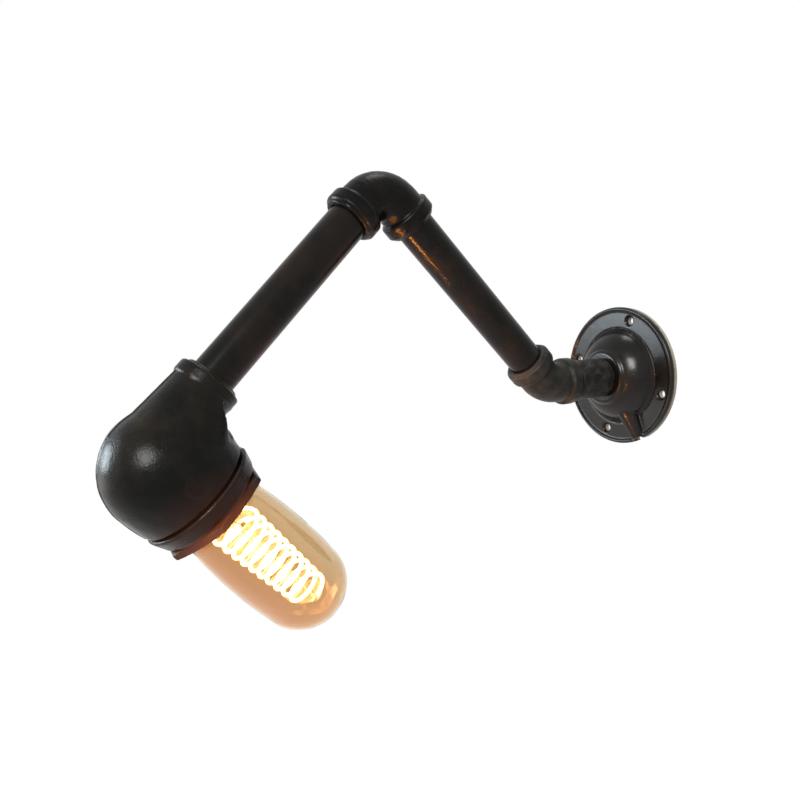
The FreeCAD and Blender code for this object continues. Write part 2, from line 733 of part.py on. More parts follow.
head_band = turned("head_band", [
    ("0", "head_centre"),
    ("head_waist_radius - head_band_edge * 2", "head_centre"),
    ("head_waist_radius - head_band_edge * 2", "head_band_start"),
    ("head_band_radius - head_band_edge", "head_band_start"),
    ("head_band_radius", "head_band_start + head_band_edge", "head_band_edge"),
    ("head_mouth_radius", "head_mouth - head_band_edge"),
    ("head_mouth_radius - head_band_edge", "head_mouth", "head_band_edge"),
    ("0", "head_mouth"),
])
head_collar = port_form("head_collar", "head_reach", "head_neck_radius", "head_collar_radius",
                        "head_collar_width", "head_lip_radius", TO_PORT)
seam_slab = add("Part::Box", "seam_slab", spot(x="-seam_width / 2", y="-head_reach", z="-head_reach"),
                Length="seam_width", Width="head_reach * 2", Height="head_reach + head_waist")
seam_limit = cylinder("seam_limit", "head_reach * 2", "head_reach * 2",
                      TO_PORT + " * " + spot(z=f"{COLLAR_START} - head_reach * 2"))
seam_skin = fuse("seam_skin", head_chamber("seam_chamber", "seam_height"),
                 head_flare("seam_flare", "seam_height"))
seam = common("seam", common("seam_plate", seam_skin, seam_slab), seam_limit)
pad_line = tube("pad_line_form", "pad_radius", "pad_radius - pad_line", "head_radius / 2", "head_reach")
bind(pad_line, Placement=spot(y="pad_across", z="pad_along", axis="0; 1; 0", turn="90"))
pad = common("casting_pad", pad_line, head_chamber("pad_chamber", "seam_height"))

head_cavity = turned("head_cavity", [
    ("0", "head_centre - head_radius + head_wall"),
    ("head_radius - head_wall", "head_centre", "head_radius - head_wall"),
    ("head_radius - head_wall", "head_taper_start"),
    ("head_ledge_radius", "head_ledge_start"),
    ("head_ledge_radius", "head_ledge_end"),
    ("head_thread_radius", "head_ledge_end"),
    ("head_thread_radius", "head_mouth + head_radius"),
    ("0", "head_mouth + head_radius"),
])
head_port_bore = port_bore("head_port_bore", "head_reach", TO_PORT)
head_form = fuse("head_form", head_chamber("head_round"), head_flare("head_neck"), head_band, head_collar,
                 seam, pad)
node(cut("head_elbow", head_form, head_cavity, head_port_bore), "head_elbow", lamp_axis)


# ---------------------------------------------------------------------------------------------
# Hexagonal ring and lampholder
# ---------------------------------------------------------------------------------------------
RING_START = "(head_mouth + ring_seat_gap)"
RING_END = f"({RING_START} + ring_thickness)"
CORNER = "(ring_across_flats / sqrt(3))"
ring_blank = add("Part::Prism", "ring_blank", spot(z=RING_START, axis="0; 0; 1", turn="ring_turn"),
                 Circumradius=CORNER, Height="ring_thickness")
ring_blank.Polygon = 6
ring_chamfers = turned("ring_chamfers", [
    ("0", RING_START),
    ("ring_across_flats / 2", RING_START),
    (CORNER, f"{RING_START} + ring_chamfer"),
    (CORNER, f"{RING_END} - ring_chamfer"),
    ("ring_across_flats / 2", RING_END),
    ("0", RING_END),
])
ring_spigot = cylinder("ring_spigot", "head_thread_radius - fit_gap",
                       f"{RING_END} - ring_chamfer - ring_spigot_start", spot(z="ring_spigot_start"))
ring_bore = cylinder("ring_bore", "ring_bore_radius", f"{RING_END} - ring_spigot_start + 2",
                     spot(z="ring_spigot_start - 1"))
ring_form = fuse("ring_form", common("ring_head", ring_blank, ring_chamfers), ring_spigot)
node(cut("retaining_ring", ring_form, ring_bore), "retaining_ring", lamp_axis)

holder_form = turned("holder_form", [
    ("0", "holder_back"),
    ("holder_base_radius", "holder_back"),
    ("holder_base_radius", "holder_step"),
    ("holder_radius", "holder_step + holder_radius - holder_base_radius"),
    ("holder_radius", "head_ledge_end"),
    ("holder_flange_radius", "head_ledge_end"),
    ("holder_flange_radius", "ring_spigot_start"),
    ("holder_front_radius", "ring_spigot_start"),
    ("holder_front_radius", "holder_front"),
    ("holder_bore_radius", "holder_front"),
    ("holder_bore_radius", "holder_floor"),
    ("0", "holder_floor"),
])
terminal_holes = []
terminal_forms = []
for side in (-1, 1):
    at_terminal = spot(x=f"{side} * terminal_spacing / 2", y="-terminal_offset", z="holder_back")
    terminal_holes.append(cylinder(f"terminal_hole_{side + 1}", "terminal_shank / 2", "terminal_depth",
                                   at_terminal))
    terminal_forms.append(turned(f"terminal_{side + 1}", [
        ("0", "-terminal_head_height"),
        ("terminal_head / 2 - terminal_head_height / 4", "-terminal_head_height"),
        ("terminal_head / 2", "-terminal_head_height * 3 / 4"),
        ("terminal_head / 2", "0"),
        ("terminal_shank / 2", "0"),
        ("terminal_shank / 2", "terminal_depth"),
        ("0", "terminal_depth"),
    ], at_terminal))
node(cut("lampholder_body", holder_form, *terminal_holes), "lampholder_body", lamp_axis)
node(fuse("holder_terminals", *terminal_forms), "holder_terminals", lamp_axis)

node(turned("holder_screw_shell", [
    ("shell_radius - shell_wall", "shell_start + shell_wall"),
    ("shell_radius - shell_wall * 5", "shell_start + shell_wall"),
    ("shell_radius - shell_wall * 5", "shell_start"),
    ("shell_radius", "shell_start"),
    ("shell_radius", "shell_end"),
    ("shell_radius - shell_wall", "shell_end"),
]), "holder_screw_shell", lamp_axis)

BULB_TIP = "(bulb_seat + bulb_length)"
node(turned("holder_centre_contact", [
    ("0", "holder_floor"),
    ("contact_disc_radius", "holder_floor"),
    ("contact_disc_radius", "holder_floor + contact_disc_thickness"),
    ("contact_tip_radius * 1.6", "holder_floor + contact_disc_thickness"),
    ("contact_tip_radius", "bulb_seat - face_gap"),
    ("0", "bulb_seat - face_gap"),
]), "holder_centre_contact", lamp_axis)


# ---------------------------------------------------------------------------------------------
# Bulb
# ---------------------------------------------------------------------------------------------
node(turned("bulb_contact", [
    ("0", "bulb_seat"),
    ("contact_radius - contact_edge * 2", "bulb_seat"),
    ("contact_radius", "bulb_seat + contact_edge", "contact_edge * 2"),
    ("contact_radius", "bulb_seat + contact_height"),
    ("0", "bulb_seat + contact_height"),
]), "bulb_contact", lamp_axis)

INSULATOR_START = "(bulb_seat + contact_height + contact_gap)"
node(turned("cap_insulator", [
    ("0", INSULATOR_START),
    ("contact_radius", INSULATOR_START),
    ("insulator_radius", f"{INSULATOR_START} + insulator_height - insulator_rim"),
    ("insulator_radius", f"{INSULATOR_START} + insulator_height"),
    ("0", f"{INSULATOR_START} + insulator_height"),
]), "cap_insulator", lamp_axis)

cap_outline = [
    ("cap_inner_radius", "cap_start"),
    ("cap_root_radius", "cap_start"),
    ("cap_root_radius", "cap_thread_start"),
]
for ridge in range(round(value("cap_ridges"))):
    foot = f"cap_thread_start + {ridge} * thread_pitch"
    cap_outline += [
        ("cap_crest_radius", f"{foot} + thread_pitch / 4"),
        ("cap_crest_radius", f"{foot} + thread_pitch / 2"),
        ("cap_root_radius", f"{foot} + thread_pitch * 3 / 4"),
        ("cap_root_radius", f"{foot} + thread_pitch"),
    ]
cap_outline += [
    ("cap_root_radius", "cap_end"),
    ("cap_inner_radius", "cap_end"),
]
node(turned("bulb_cap", cap_outline), "bulb_cap", lamp_axis)

SHOULDER_RISE = "((bulb_waist - glass_shoulder) / 2)"
SHOULDER_STEP = "((bulb_waist_radius - glass_neck_radius) / 2)"
SHOULDER_CURVE = f"(({SHOULDER_RISE} ^ 2 + {SHOULDER_STEP} ^ 2) / (2 * {SHOULDER_STEP}))"
ROUND_START = f"({BULB_TIP} - bulb_radius)"
BELLY_CHORD = f"(({ROUND_START} - bulb_waist) ^ 2 + (bulb_radius - bulb_waist_radius) ^ 2)"
BELLY_CURVE = f"({BELLY_CHORD} / (8 * bulb_belly) + bulb_belly / 2)"


def glass_form(name, inset, start):
    """The bulb's outline let in by the glass's thickness."""
    return turned(name, [
        ("0", start),
        (f"glass_neck_radius - {inset}", start),
        (f"glass_neck_radius - {inset}", "glass_shoulder"),
        (f"glass_neck_radius + {SHOULDER_STEP} - {inset}", f"glass_shoulder + {SHOULDER_RISE}",
         f"-{SHOULDER_CURVE}"),
        (f"bulb_waist_radius - {inset}", "bulb_waist", SHOULDER_CURVE),
        (f"bulb_radius - {inset}", ROUND_START, BELLY_CURVE),
        ("0", f"{BULB_TIP} - {inset}", f"bulb_radius - {inset}"),
    ])


node(cut("bulb_glass", glass_form("glass_outside", "0", "glass_neck_start"),
         glass_form("glass_inside", "glass_wall", "glass_neck_start - 1")), "bulb_glass", lamp_axis)

ROD_END = f"({BULB_TIP} - rod_clearance)"
node(turned("stem", [
    ("0", "stem_foot"),
    ("stem_foot_radius", "stem_foot"),
    ("stem_waist_radius", "stem_waist", "-stem_foot_radius * 2"),
    ("stem_waist_radius", "stem_top"),
    ("rod_radius", "stem_top"),
    ("rod_radius", f"{ROD_END} - button_radius * 2"),
    ("button_radius", f"{ROD_END} - button_radius"),
    ("rod_radius", ROD_END),
    ("0", ROD_END),
]), "stem", lamp_axis)


# ---------------------------------------------------------------------------------------------
# Wires: tubes along straight runs with tangent arcs, and the spiral filament
# ---------------------------------------------------------------------------------------------
def rounded_path(points, radius):
    """Straight runs joined by arcs of one radius."""
    edges = []
    start = points[0]
    for before, corner, after in zip(points, points[1:], points[2:]):
        back = (before - corner).normalize()
        onward = (after - corner).normalize()
        half = back.getAngle(onward) / 2
        leg = radius / math.tan(half)
        middle = corner + (back + onward).normalize() * (radius / math.sin(half) - radius)
        edges.append(Part.LineSegment(start, corner + back * leg).toShape())
        edges.append(Part.Arc(corner + back * leg, middle, corner + onward * leg).toShape())
        start = corner + onward * leg
    edges.append(Part.LineSegment(start, points[-1]).toShape())
    return Part.Wire(edges)


def round_section(path, radius):
    first = path.Edges[0]
    tangent = first.tangentAt(first.FirstParameter)
    return Part.Wire([Part.Circle(first.valueAt(first.FirstParameter), tangent, radius).toShape()])


def wire_tube(path, diameter):
    solid = path.makePipeShell([round_section(path, diameter / 2)], True, False)
    ideal = math.pi * diameter ** 2 / 4 * path.Length
    if abs(solid.Volume / ideal - 1) > 0.01:
        raise ValueError("a wire's volume isn't its section times its length")
    return solid


def wire_node(name, axis, *solids):
    thing = doc.addObject("Part::Feature", name)
    thing.Shape = solids[0] if len(solids) == 1 else Part.makeCompound(list(solids))
    return node(thing, name, axis)


def local(x="0", y="0", z="0"):
    return Vector(value(x), value(y), value(z))


lead_od = value("lead_od")
core_od = value("core_od")

# two-core lead on the centre line of the run, cut where the fittings swivel
PLATE_LEAD_START = f"({NIPPLE_START} + lead_tail_at_plate)"
ELBOW_FACE = f"({WALL_TO_ELBOW} - elbow_45_reach)"
plate_lead_path = rounded_path([local(z=PLATE_LEAD_START), local(z=ELBOW_FACE)], 0)
wire_node("lead_at_plate", wall_axis, wire_tube(plate_lead_path, lead_od))
wire_node("lead_in_lower_arm", lower_axis, wire_tube(rounded_path([
    local(y="elbow_45_reach * sin(wall_bend)", z="-elbow_45_reach * cos(wall_bend)"),
    local(),
    local(z=f"{LOWER_RUN} - {TOP_REACH}"),
], value("lead_bend_45")), lead_od))
wire_node("lead_in_upper_arm", upper_axis, wire_tube(rounded_path([
    local(y=f"-{TOP_REACH} * sin(top_bend)", z=f"-{TOP_REACH} * cos(top_bend)"),
    local(),
    local(z=f"{UPPER_RUN} - head_reach"),
], value("lead_bend_90")), lead_od))
wire_node("lead_in_head", lamp_axis, wire_tube(rounded_path([
    local(y="-head_reach * sin(head_bend)", z="-head_reach * cos(head_bend)"),
    local(y="-lead_tail_in_head * sin(head_bend)", z="-lead_tail_in_head * cos(head_bend)"),
], 0), lead_od))

# cores from the lead to the block, and from the lead to the holder's terminals
AXIS_Z = Vector(0, 0, 1)
ORIGIN = Vector(0, 0, 0)


def spun(point, angle):
    return FreeCAD.Rotation(AXIS_Z, angle).multVec(point)


block_face = value("boss_circle / 2 - block_offset - block_width / 2")
plate_cores = []
for pole in (-1, 1):
    beside = pole * value("core_spacing / 2")
    turn_height = value(POLE_HEIGHT)
    across = pole * value("pole_spacing / 2")
    points = [
        Vector(0, beside, value(PLATE_LEAD_START)),
        Vector(0, beside, turn_height),
        Vector(block_face - value("core_bend"), across, turn_height),
        Vector(block_face + value("block_width / 3"), across, turn_height),
    ]
    turned_points = [spun(point, value("block_angle")) for point in points]
    plate_cores.append(wire_tube(rounded_path(turned_points, value("core_bend / 2")), core_od))
wire_node("plate_cores", wall_axis, *plate_cores)

head_cores = []
for side in (-1, 1):
    beside = side * value("core_spacing / 2")
    end_x = side * value("terminal_spacing / 2")
    head_edge = value("-terminal_offset - terminal_head / 2")
    height = value("holder_back - terminal_head_height / 2")
    points = [
        Vector(beside, value("-lead_tail_in_head * sin(head_bend)"),
               value("-lead_tail_in_head * cos(head_bend)")),
        Vector(beside, head_edge - 2 * value("core_bend"), height),
        Vector(end_x, head_edge - value("core_bend"), height),
        Vector(end_x, head_edge, height),
    ]
    head_cores.append(wire_tube(rounded_path(points, value("core_bend / 2")), core_od))
wire_node("head_cores", lamp_axis, *head_cores)


def spiral_point(share):
    """A point of the filament's centre line: share runs from 0 at its first end to 1 at its last."""
    radius = value("filament_start_radius") + share * value("filament_end_radius - filament_start_radius")
    height = value("filament_start") + share * value(f"{BULB_TIP} - filament_clearance - filament_start")
    angle = 2 * math.pi * value("filament_turns") * share
    return Vector(radius * math.cos(angle), radius * math.sin(angle), height)


def spiral_direction(share):
    step = 1e-5
    return (spiral_point(share + step) - spiral_point(share - step)).normalize()


def biarc(start, start_direction, end, end_direction):
    """Two arcs that join two points and keep both directions."""
    chord = end - start
    both = start_direction + end_direction
    spread = 2 * (1 - start_direction.dot(end_direction))
    reach = (-chord.dot(both) + math.sqrt(chord.dot(both) ** 2 + spread * chord.dot(chord))) / spread
    first_corner = start + start_direction * reach
    last_corner = end - end_direction * reach
    meeting = (first_corner + last_corner) / 2
    arcs = []
    for tail, corner, head in ((start, first_corner, meeting), (meeting, last_corner, end)):
        across = (tail + head) / 2
        cosine = (head - tail).Length / 2 / reach
        arcs.append(Part.Arc(tail, across + (corner - across) * (cosine / (1 + cosine)), head).toShape())
    return arcs


filament_od = value("filament_od")
steps = round(value("filament_turns * 4"))
first_direction = spiral_direction(0)
last_direction = spiral_direction(1)
filament_edges = [
    Part.LineSegment(spiral_point(0) - first_direction * filament_od, spiral_point(0)).toShape(),
]
for step in range(steps):
    here = step / steps
    there = (step + 1) / steps
    filament_edges += biarc(spiral_point(here), spiral_direction(here),
                            spiral_point(there), spiral_direction(there))
last_end = spiral_point(1) + last_direction * filament_od
filament_edges.append(Part.LineSegment(spiral_point(1), last_end).toShape())
filament_path = Part.Wire(filament_edges)
wire_node("filament", lamp_axis, wire_tube(filament_path, filament_od))

samples_per_turn = 48
samples = [spiral_point(index / (samples_per_turn * value("filament_turns")))
           for index in range(round(samples_per_turn * value("filament_turns")) + 1)]
least_gap = min((samples[index] - samples[other]).Length - filament_od
                for index in range(len(samples))
                for other in range(index + samples_per_turn // 2, len(samples)))
print(f"filament: {filament_path.Length:.1f} mm long, least gap to itself {least_gap:.2f} mm")

# lead-in wires: a clamp on each end of the filament, carried by the stem
lead_in_radius = value("lead_in_od / 2")
lead_ins = []
for share, direction, sign in ((0, first_direction, -1), (1, last_direction, 1)):
    clamp_start = spiral_point(share) + direction * sign * filament_od
    outward = direction * sign
    clamp = Part.makeCylinder(value("clamp_od / 2"), value("clamp_length"), clamp_start, outward)
    clamp_middle = clamp_start + outward * value("clamp_length / 2")
    inward = Vector(-clamp_middle.x, -clamp_middle.y, 0).normalize()
    post = clamp_middle + inward * (math.hypot(clamp_middle.x, clamp_middle.y) - value("rod_radius * 2"))
    base = Vector(post.x, post.y, value("stem_top"))
    arm = Part.makeCylinder(lead_in_radius, (post - clamp_middle).Length, clamp_middle, inward)
    mast = Part.makeCylinder(lead_in_radius, (post - base).Length, base, AXIS_Z)
    knee = Part.makeSphere(lead_in_radius, post)
    lead_ins.append(clamp.fuse([arm, mast, knee]))
wire_node("lead_in_wires", lamp_axis, *lead_ins)

# support hooks from the rod out to the spiral
supports = []
turn = value("support_step") / 2 + 0.25
while turn < value("filament_turns"):
    point = spiral_point(turn / value("filament_turns"))
    out = Vector(point.x, point.y, 0)
    reach = out.Length - filament_od / 2 - value("fit_gap")
    root = Vector(0, 0, point.z)
    hook = Part.makeCylinder(value("support_od / 2"), reach, root, out)
    supports.append(hook.cut(Part.makeCylinder(value("rod_radius"), value("bulb_length"), ORIGIN, AXIS_Z)))
    turn += value("support_step")
wire_node("filament_supports", lamp_axis, *supports)


# ---------------------------------------------------------------------------------------------
# Checks and export
# ---------------------------------------------------------------------------------------------
doc.recompute()
for thing in doc.Objects:
    if "Invalid" in thing.State or "Error" in thing.State:
        raise RuntimeError(f"{thing.Label} failed: {thing.State}")
for thing in nodes:
    shape = thing.Shape
    if shape.isNull() or not shape.isValid():
        raise RuntimeError(f"{thing.Label} has no valid shape")
    if not shape.Solids:
        raise RuntimeError(f"{thing.Label} holds no solid")
for thing in nodes:
    thing.Shape.exportStep(os.path.join("parts", thing.Label + ".step"))
    print(f"{thing.Label:22s} {len(thing.Shape.Solids)} solid(s) {thing.Shape.Volume / 1000:9.3f} cm3")
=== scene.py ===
import bpy
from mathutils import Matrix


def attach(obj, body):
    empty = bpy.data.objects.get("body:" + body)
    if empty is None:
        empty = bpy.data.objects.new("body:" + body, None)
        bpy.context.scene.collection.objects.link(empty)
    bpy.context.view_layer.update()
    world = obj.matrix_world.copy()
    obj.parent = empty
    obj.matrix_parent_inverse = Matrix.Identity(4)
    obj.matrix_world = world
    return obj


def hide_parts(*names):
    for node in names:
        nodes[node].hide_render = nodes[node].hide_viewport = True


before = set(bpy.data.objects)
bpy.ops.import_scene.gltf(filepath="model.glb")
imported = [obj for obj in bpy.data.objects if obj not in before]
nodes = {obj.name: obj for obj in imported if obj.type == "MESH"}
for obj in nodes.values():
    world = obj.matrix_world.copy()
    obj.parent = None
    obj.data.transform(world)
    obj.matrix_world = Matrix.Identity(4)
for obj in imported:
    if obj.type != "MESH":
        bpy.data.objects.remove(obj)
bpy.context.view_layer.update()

import bpy
from math import cos, pi, radians, sin
from mathutils import Matrix, Vector, noise


# The studio: a pale floor well below the lamp, an even white surround and four soft boxes, one
# of them cool like a window. The viewpoint is a little in front of the wall, level with the run
# and to its right.
def new_finish(name):
    """A finish with its node tree and its surface shader."""
    finish = bpy.data.materials.new(name)
    finish.use_nodes = True
    tree = finish.node_tree
    return finish, tree, tree.nodes["Principled BSDF"]


def seen_directly(tree):
    """1 for rays from the eye, a mirror or a pane, 0 for the soft light on the object."""
    path = tree.nodes.new("ShaderNodeLightPath")
    eye = tree.nodes.new("ShaderNodeMath")
    eye.operation = "MAXIMUM"
    tree.links.new(path.outputs["Is Camera Ray"], eye.inputs[0])
    tree.links.new(path.outputs["Is Glossy Ray"], eye.inputs[1])
    both = tree.nodes.new("ShaderNodeMath")
    both.operation = "MAXIMUM"
    tree.links.new(eye.outputs[0], both.inputs[0])
    tree.links.new(path.outputs["Is Transmission Ray"], both.inputs[1])
    return both.outputs[0]


SOFT_LIGHT = 0.26
surround = bpy.data.worlds.new("white_surround")
surround.use_nodes = True
tree = surround.node_tree
soft = tree.nodes["Background"]
soft.inputs["Color"].default_value = (1, 0.99, 0.97, 1)
soft.inputs["Strength"].default_value = SOFT_LIGHT
white = tree.nodes.new("ShaderNodeBackground")
white.inputs["Color"].default_value = (1, 1, 1, 1)
white.inputs["Strength"].default_value = 1.0
either = tree.nodes.new("ShaderNodeMixShader")
tree.links.new(seen_directly(tree), either.inputs[0])
tree.links.new(soft.outputs[0], either.inputs[1])
tree.links.new(white.outputs[0], either.inputs[2])
tree.links.new(either.outputs[0], tree.nodes["World Output"].inputs["Surface"])
bpy.context.scene.world = surround

FLOOR_HEIGHT = -1.35
FLOOR_REACH = 9.0
floor_mesh = bpy.data.meshes.new("studio_floor")
floor_mesh.from_pydata([
    (-FLOOR_REACH, -FLOOR_REACH, FLOOR_HEIGHT),
    (FLOOR_REACH, -FLOOR_REACH, FLOOR_HEIGHT),
    (FLOOR_REACH, FLOOR_REACH, FLOOR_HEIGHT),
    (-FLOOR_REACH, FLOOR_REACH, FLOOR_HEIGHT),
], [], [(0, 1, 2, 3)])
floor = bpy.data.objects.new("studio_floor", floor_mesh)
bpy.context.collection.objects.link(floor)
PAPER_LIFT = 0.8
paper, tree, face = new_finish("white_paper")
face.inputs["Base Color"].default_value = (0.86, 0.86, 0.85, 1)
face.inputs["Roughness"].default_value = 0.9
face.inputs["Specular IOR Level"].default_value = 0.0
lift = tree.nodes.new("ShaderNodeMath")
lift.operation = "MULTIPLY"
lift.inputs[1].default_value = PAPER_LIFT
tree.links.new(seen_directly(tree), lift.inputs[0])
face.inputs["Emission Color"].default_value = (1, 1, 1, 1)
tree.links.new(lift.outputs[0], face.inputs["Emission Strength"])
floor_mesh.materials.append(paper)


def soft_box(name, place, target, width, height, watts, colour=(1, 1, 1)):
    """A soft box of that size in metres at a place, turned to face its target."""
    light = bpy.data.lights.new(name, "AREA")
    light.shape = "RECTANGLE"
    light.size = width
    light.size_y = height
    light.energy = watts
    light.color = colour
    box = bpy.data.objects.new(name, light)
    box.location = place
    box.rotation_euler = (Vector(target) - Vector(place)).to_track_quat("-Z", "Y").to_euler()
    bpy.context.collection.objects.link(box)


soft_box("high_box", (0.70, -1.22, 0.68), (0, -0.25, 0), 0.50, 0.50, watts=26)
soft_box("window_box", (-0.86, -1.14, 0.19), (0, -0.2, 0), 0.5, 0.42, watts=13,
         colour=(0.80, 0.92, 1.0))
soft_box("low_box", (-0.90, -1.12, -0.22), (0, -0.2, 0), 0.6, 0.34, watts=0.9,
         colour=(1.0, 0.97, 0.93))
soft_box("top_box", (-0.2, 0.1, 1.3), (0, -0.2, 0), 0.4, 0.4, watts=4)

PICTURE_WIDTH = 800
FOCAL_LENGTH = 745.71
SENSOR_WIDTH = 36
eye_right = Vector((0.57502, 0.81756, -0.03085))
eye_up = Vector((-0.09614, 0.10497, 0.98982))
eye_back = Vector((0.81247, -0.56620, 0.13896))
camera_data = bpy.data.cameras.new("eye")
camera_data.sensor_width = SENSOR_WIDTH
camera_data.lens = FOCAL_LENGTH / PICTURE_WIDTH * SENSOR_WIDTH
camera_data.shift_x = -0.06708
camera_data.shift_y = 0.02571
camera_data.clip_start = 0.01
camera = bpy.data.objects.new("eye", camera_data)
place = Matrix((eye_right, eye_up, eye_back)).transposed().to_4x4()
place.translation = Vector((0.34961, -0.38486, 0.04356))
camera.matrix_world = place
bpy.context.collection.objects.link(camera)
bpy.context.scene.camera = camera
bpy.context.scene.view_settings.view_transform = "Standard"


# Wall gasket: a flat ring of khaki sheet rubber, stamped out with its four screw holes and the
# slot of the cable channel, and pressed between the plate's rim and the wall.
MM = 0.001


def grain_of(tree, size_mm, detail=3.0, roughness=0.55, stretch=None, turn_x=0.0):
    """Noise over the piece's own place, with its cells size_mm across."""
    place = tree.nodes.new("ShaderNodeTexCoord")
    grain = tree.nodes.new("ShaderNodeTexNoise")
    grain.inputs["Scale"].default_value = 1 / (size_mm * MM)
    grain.inputs["Detail"].default_value = detail
    grain.inputs["Roughness"].default_value = roughness
    if stretch:
        lay = tree.nodes.new("ShaderNodeMapping")
        lay.inputs["Rotation"].default_value = (turn_x, 0, 0)
        lay.inputs["Scale"].default_value = stretch
        tree.links.new(place.outputs["Object"], lay.inputs["Vector"])
        tree.links.new(lay.outputs["Vector"], grain.inputs["Vector"])
    else:
        tree.links.new(place.outputs["Object"], grain.inputs["Vector"])
    return grain.outputs["Fac"]


def spread(tree, source, low, high, from_low=0.3, from_high=0.7):
    """The source's middle range laid out between low and high."""
    step = tree.nodes.new("ShaderNodeMapRange")
    step.inputs["From Min"].default_value = from_low
    step.inputs["From Max"].default_value = from_high
    step.inputs["To Min"].default_value = low
    step.inputs["To Max"].default_value = high
    tree.links.new(source, step.inputs["Value"])
    return step.outputs["Result"]


def blended(tree, share, first, second):
    """A colour between two others, each three numbers or another node's colour, by a share."""
    pair = tree.nodes.new("ShaderNodeMix")
    pair.data_type = "RGBA"
    tree.links.new(share, pair.inputs[0])
    for socket, colour in ((pair.inputs[6], first), (pair.inputs[7], second)):
        if isinstance(colour, bpy.types.NodeSocket):
            tree.links.new(colour, socket)
        else:
            socket.default_value = (*colour, 1)
    return pair.outputs[2]


def coloured(tree, face, patch_mm, first, second, detail=3.0):
    """Two close colours in soft patches."""
    patch = spread(tree, grain_of(tree, patch_mm, detail), 0, 1)
    tree.links.new(blended(tree, patch, first, second), face.inputs["Base Color"])


def polished(tree, face, patch_mm, shine, dull):
    """A roughness that drifts between shine and dull."""
    tree.links.new(spread(tree, grain_of(tree, patch_mm), shine, dull), face.inputs["Roughness"])


def relief(tree, face, height, depth_mm, strength=1.0):
    """Hollows and swells of that depth on the surface."""
    bump = tree.nodes.new("ShaderNodeBump")
    bump.inputs["Strength"].default_value = strength
    bump.inputs["Distance"].default_value = depth_mm * MM
    tree.links.new(height, bump.inputs["Height"])
    tree.links.new(bump.outputs["Normal"], face.inputs["Normal"])


def wear(finish, *pieces):
    """Puts one finish on each of these pieces."""
    for piece in pieces:
        piece.data.materials.clear()
        piece.data.materials.append(finish)


sheet_rubber, tree, face = new_finish("khaki_sheet_rubber")
coloured(tree, face, 9, (0.34, 0.30, 0.22), (0.42, 0.38, 0.29))
polished(tree, face, 3, shine=0.6, dull=0.85)
face.inputs["Specular IOR Level"].default_value = 0.25
relief(tree, face, grain_of(tree, 0.5), depth_mm=0.06)
wear(sheet_rubber, nodes["wall_gasket"])


# Wall plate: a round foot of cast iron with a raised bead at its rim, a dome in its middle and a
# roofed channel for a surface cable. It is ground, then sprayed with two coats of gloss black
# lacquer, and four screws through its rim hold it to the wall.
def settled(piece):
    """The piece takes the form that its modifiers give it, and they come off."""
    bpy.context.view_layer.update()
    seen = piece.evaluated_get(bpy.context.evaluated_depsgraph_get())
    former = piece.data
    formed = bpy.data.meshes.new_from_object(seen)
    piece.modifiers.clear()
    piece.data = formed
    bpy.data.meshes.remove(former)


GRINDING_PASSES = 300


def grind(piece, spot, reach):
    """Smooths the casting's line away round a spot, fully in the inner half of the reach."""
    dressed = piece.vertex_groups.new(name="dressed")
    for vertex in piece.data.vertices:
        nearness = 1 - (vertex.co - Vector(spot)).length / reach
        if nearness > 0:
            dressed.add([vertex.index], min(1, nearness * 2), "REPLACE")
    grinder = piece.modifiers.new("grinder", "SMOOTH")
    grinder.vertex_group = "dressed"
    grinder.factor = 0.5
    grinder.iterations = GRINDING_PASSES
    settled(piece)
    piece.vertex_groups.clear()


def cast(name, node, body, cell_mm, rounds, ripple_mm=0, ripple_size_mm=1, ground=None):
    """The node's form with its corners run soft as in a sand casting, and a faintly uneven skin.

    ground is a place and a reach in metres, where the casting's line is ground away.
    """
    piece = bpy.data.objects.new(name, nodes[node].data.copy())
    bpy.context.collection.objects.link(piece)
    remesh = piece.modifiers.new("cells", "REMESH")
    remesh.mode = "VOXEL"
    remesh.voxel_size = cell_mm * MM
    smooth = piece.modifiers.new("run_soft", "SMOOTH")
    smooth.factor = 0.5
    smooth.iterations = rounds
    settled(piece)
    if ground:
        grind(piece, *ground)
    skin = piece.data
    if ripple_mm:
        normals = [vertex.normal.copy() for vertex in skin.vertices]
        for vertex, normal in zip(skin.vertices, normals):
            swell = noise.noise(vertex.co / (ripple_size_mm * MM))
            vertex.co += normal * (swell * ripple_mm * MM)
    for polygon in skin.polygons:
        polygon.use_smooth = True
    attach(piece, body)
    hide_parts(node)
    return piece


LEAST_WORN_HIGHLIT_EDGE = 0.52
BARE_HIGHLIT_EDGE = 0.60


def worn_and_highlit_edges(tree):
    """1 on sharp outer edges, which are rubbed and carry a painted highlight, and 0 on the open
    faces.
    """
    form = tree.nodes.new("ShaderNodeNewGeometry")
    edge_wear_and_highlight = spread(tree, form.outputs["Pointiness"], 0, 1, LEAST_WORN_HIGHLIT_EDGE, BARE_HIGHLIT_EDGE)
    patchy = spread(tree, grain_of(tree, 5), 0.25, 1)
    both = tree.nodes.new("ShaderNodeMath")
    both.operation = "MULTIPLY"
    tree.links.new(edge_wear_and_highlight, both.inputs[0])
    tree.links.new(patchy, both.inputs[1])
    return both.outputs[0]


def black_lacquer(name, dark, rubbed, shine, dull, grain_mm, depth_mm, patch_mm=14, gloss=0.12,
                  edge_wear_and_highlight=(0.10, 0.092, 0.082)):
    """Sprayed black: dark where it is thick, brown where rubbed, lighter on its edges from wear and
    a painted highlight.
    """
    finish, tree, face = new_finish(name)
    grain = grain_of(tree, patch_mm, detail=4)
    patch = spread(tree, grain, 0, 1, from_low=0.42, from_high=0.72)
    coat = blended(tree, patch, dark, rubbed)
    # The edge colour is partly wear and partly a painted highlight on the rounded edges.
    tree.links.new(blended(tree, worn_and_highlit_edges(tree), coat, edge_wear_and_highlight), face.inputs["Base Color"])
    polished(tree, face, patch_mm / 3, shine, dull)
    face.inputs["Specular IOR Level"].default_value = gloss
    relief(tree, face, grain_of(tree, grain_mm, detail=4, roughness=0.6), depth_mm)
    return finish


